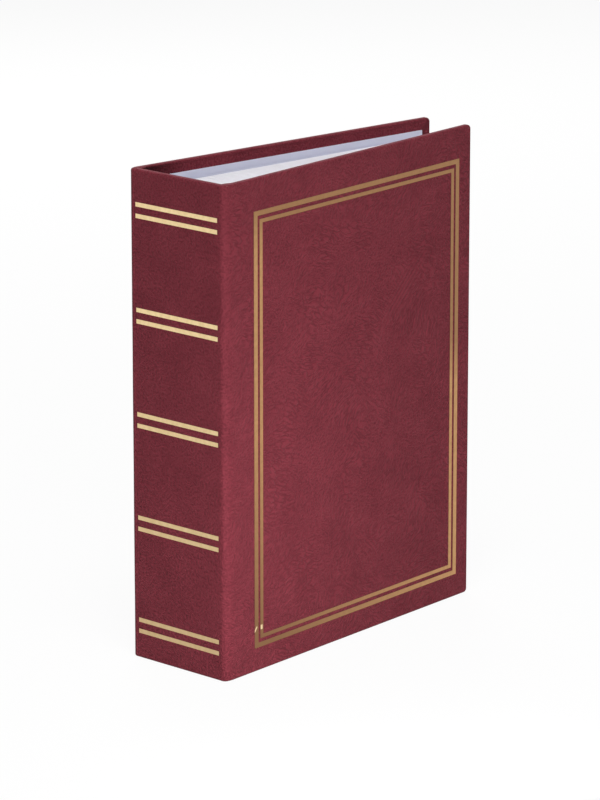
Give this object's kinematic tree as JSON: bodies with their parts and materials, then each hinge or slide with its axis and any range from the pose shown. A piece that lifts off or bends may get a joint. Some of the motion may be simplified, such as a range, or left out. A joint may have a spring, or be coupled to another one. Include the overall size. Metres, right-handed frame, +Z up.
{
  "type": "stamp album",
  "caption": "Wedge-shaped stamp stock album in dark red leatherette with gilt lines, hinged covers and fanning card pages with clear pocket strips.",
  "frame": {"origin": "under the middle of the album on the surface that it stands on, at the centre of its bounding box in X and Y", "axes": "+X from the spine to the fore edge, +Y from the front cover to the back cover, +Z up from tail to head"},
  "size_m": [0.1788, 0.0594, 0.225],
  "materials": {
    "leatherette": "fine-grained dark red leatherette, low sheen",
    "gilt_foil": "pressed gilt foil, satin",
    "greyboard": "raw grey board",
    "lining": "book linen",
    "guard_card": "matt white card",
    "page_card": "smooth white card",
    "endpaper": "pale blue-grey endpaper",
    "clear_film": "clear pocket film"
  },
  "bodies": {
    "spine": {"spine_board": "greyboard", "spine_leatherette": "leatherette", "spine_gilt_bands": "gilt_foil", "spine_lining": "lining", "front_joint_leatherette": "leatherette", "back_joint_leatherette": "leatherette", "leaf_guards": "guard_card"},
    "front_cover": {"front_board": "greyboard", "front_leatherette": "leatherette", "front_endpaper": "endpaper", "front_gilt_frame_outer": "gilt_foil", "front_gilt_frame_inner": "gilt_foil"},
    "back_cover": {"back_board": "greyboard", "back_leatherette": "leatherette", "back_endpaper": "endpaper"},
    "front_flyleaf_sheet": {"front_flyleaf": "endpaper"},
    "back_flyleaf_sheet": {"back_flyleaf": "endpaper"},
    "page_01": {"leaf_01": "page_card", "leaf_01_strips": "clear_film"},
    "page_02": {"leaf_02": "page_card", "leaf_02_strips": "clear_film"},
    "page_03": {"leaf_03": "page_card", "leaf_03_strips": "clear_film"},
    "page_04": {"leaf_04": "page_card", "leaf_04_strips": "clear_film"},
    "page_05": {"leaf_05": "page_card", "leaf_05_strips": "clear_film"},
    "page_06": {"leaf_06": "page_card", "leaf_06_strips": "clear_film"},
    "page_07": {"leaf_07": "page_card", "leaf_07_strips": "clear_film"},
    "page_08": {"leaf_08": "page_card", "leaf_08_strips": "clear_film"},
    "page_09": {"leaf_09": "page_card", "leaf_09_strips": "clear_film"},
    "page_10": {"leaf_10": "page_card", "leaf_10_strips": "clear_film"},
    "page_11": {"leaf_11": "page_card", "leaf_11_strips": "clear_film"},
    "page_12": {"leaf_12": "page_card", "leaf_12_strips": "clear_film"},
    "page_13": {"leaf_13": "page_card", "leaf_13_strips": "clear_film"},
    "page_14": {"leaf_14": "page_card", "leaf_14_strips": "clear_film"},
    "page_15": {"leaf_15": "page_card", "leaf_15_strips": "clear_film"},
    "page_16": {"leaf_16": "page_card", "leaf_16_strips": "clear_film"}
  },
  "joints": [
    {"name": "front_cover_hinge", "type": "hinge", "parent": "spine", "child": "front_cover", "pos_m": [-0.08645, -0.0267, 0.1125], "axis": [0, 0, -1], "range_deg": [0, 100]},
    {"name": "back_cover_hinge", "type": "hinge", "parent": "spine", "child": "back_cover", "pos_m": [-0.08645, 0.0267, 0.1125], "axis": [0, 0, 1], "range_deg": [0, 100]},
    {"name": "front_flyleaf_hinge", "type": "hinge", "parent": "spine", "child": "front_flyleaf_sheet", "pos_m": [-0.0733, -0.02337, 0.1125], "axis": [0, 0, -1], "range_deg": [0, 66]},
    {"name": "back_flyleaf_hinge", "type": "hinge", "parent": "spine", "child": "back_flyleaf_sheet", "pos_m": [-0.0733, 0.02337, 0.1125], "axis": [0, 0, 1], "range_deg": [0, 66]},
    {"name": "page_01_hinge", "type": "hinge", "parent": "spine", "child": "page_01", "pos_m": [-0.0733, -0.02063, 0.1125], "axis": [0, 0, -1], "range_deg": [0, 62]},
    {"name": "page_02_hinge", "type": "hinge", "parent": "spine", "child": "page_02", "pos_m": [-0.0733, -0.01787, 0.1125], "axis": [0, 0, -1], "range_deg": [0, 54.25]},
    {"name": "page_03_hinge", "type": "hinge", "parent": "spine", "child": "page_03", "pos_m": [-0.0733, -0.01512, 0.1125], "axis": [0, 0, -1], "range_deg": [0, 46.5]},
    {"name": "page_04_hinge", "type": "hinge", "parent": "spine", "child": "page_04", "pos_m": [-0.0733, -0.01238, 0.1125], "axis": [0, 0, -1], "range_deg": [0, 38.75]},
    {"name": "page_05_hinge", "type": "hinge", "parent": "spine", "child": "page_05", "pos_m": [-0.0733, -0.00962, 0.1125], "axis": [0, 0, -1], "range_deg": [0, 31]},
    {"name": "page_06_hinge", "type": "hinge", "parent": "spine", "child": "page_06", "pos_m": [-0.0733, -0.00688, 0.1125], "axis": [0, 0, -1], "range_deg": [0, 23.25]},
    {"name": "page_07_hinge", "type": "hinge", "parent": "spine", "child": "page_07", "pos_m": [-0.0733, -0.00413, 0.1125], "axis": [0, 0, -1], "range_deg": [0, 15.5]},
    {"name": "page_08_hinge", "type": "hinge", "parent": "spine", "child": "page_08", "pos_m": [-0.0733, -0.00137, 0.1125], "axis": [0, 0, -1], "range_deg": [0, 7.75]},
    {"name": "page_09_hinge", "type": "hinge", "parent": "spine", "child": "page_09", "pos_m": [-0.0733, 0.00137, 0.1125], "axis": [0, 0, 1], "range_deg": [0, 7.75]},
    {"name": "page_10_hinge", "type": "hinge", "parent": "spine", "child": "page_10", "pos_m": [-0.0733, 0.00413, 0.1125], "axis": [0, 0, 1], "range_deg": [0, 15.5]},
    {"name": "page_11_hinge", "type": "hinge", "parent": "spine", "child": "page_11", "pos_m": [-0.0733, 0.00688, 0.1125], "axis": [0, 0, 1], "range_deg": [0, 23.25]},
    {"name": "page_12_hinge", "type": "hinge", "parent": "spine", "child": "page_12", "pos_m": [-0.0733, 0.00962, 0.1125], "axis": [0, 0, 1], "range_deg": [0, 31]},
    {"name": "page_13_hinge", "type": "hinge", "parent": "spine", "child": "page_13", "pos_m": [-0.0733, 0.01238, 0.1125], "axis": [0, 0, 1], "range_deg": [0, 38.75]},
    {"name": "page_14_hinge", "type": "hinge", "parent": "spine", "child": "page_14", "pos_m": [-0.0733, 0.01512, 0.1125], "axis": [0, 0, 1], "range_deg": [0, 46.5]},
    {"name": "page_15_hinge", "type": "hinge", "parent": "spine", "child": "page_15", "pos_m": [-0.0733, 0.01787, 0.1125], "axis": [0, 0, 1], "range_deg": [0, 54.25]},
    {"name": "page_16_hinge", "type": "hinge", "parent": "spine", "child": "page_16", "pos_m": [-0.0733, 0.02063, 0.1125], "axis": [0, 0, 1], "range_deg": [0, 62]}
  ],
  "couplings": [
    {"joint": "front_flyleaf_hinge", "follows": "front_cover_hinge", "ratio": 0.66},
    {"joint": "back_flyleaf_hinge", "follows": "back_cover_hinge", "ratio": 0.66},
    {"joint": "page_01_hinge", "follows": "front_cover_hinge", "ratio": 0.62},
    {"joint": "page_02_hinge", "follows": "front_cover_hinge", "ratio": 0.5425},
    {"joint": "page_03_hinge", "follows": "front_cover_hinge", "ratio": 0.465},
    {"joint": "page_04_hinge", "follows": "front_cover_hinge", "ratio": 0.3875},
    {"joint": "page_05_hinge", "follows": "front_cover_hinge", "ratio": 0.31},
    {"joint": "page_06_hinge", "follows": "front_cover_hinge", "ratio": 0.2325},
    {"joint": "page_07_hinge", "follows": "front_cover_hinge", "ratio": 0.155},
    {"joint": "page_08_hinge", "follows": "front_cover_hinge", "ratio": 0.0775},
    {"joint": "page_09_hinge", "follows": "back_cover_hinge", "ratio": 0.0775},
    {"joint": "page_10_hinge", "follows": "back_cover_hinge", "ratio": 0.155},
    {"joint": "page_11_hinge", "follows": "back_cover_hinge", "ratio": 0.2325},
    {"joint": "page_12_hinge", "follows": "back_cover_hinge", "ratio": 0.31},
    {"joint": "page_13_hinge", "follows": "back_cover_hinge", "ratio": 0.3875},
    {"joint": "page_14_hinge", "follows": "back_cover_hinge", "ratio": 0.465},
    {"joint": "page_15_hinge", "follows": "back_cover_hinge", "ratio": 0.5425},
    {"joint": "page_16_hinge", "follows": "back_cover_hinge", "ratio": 0.62}
  ]
}
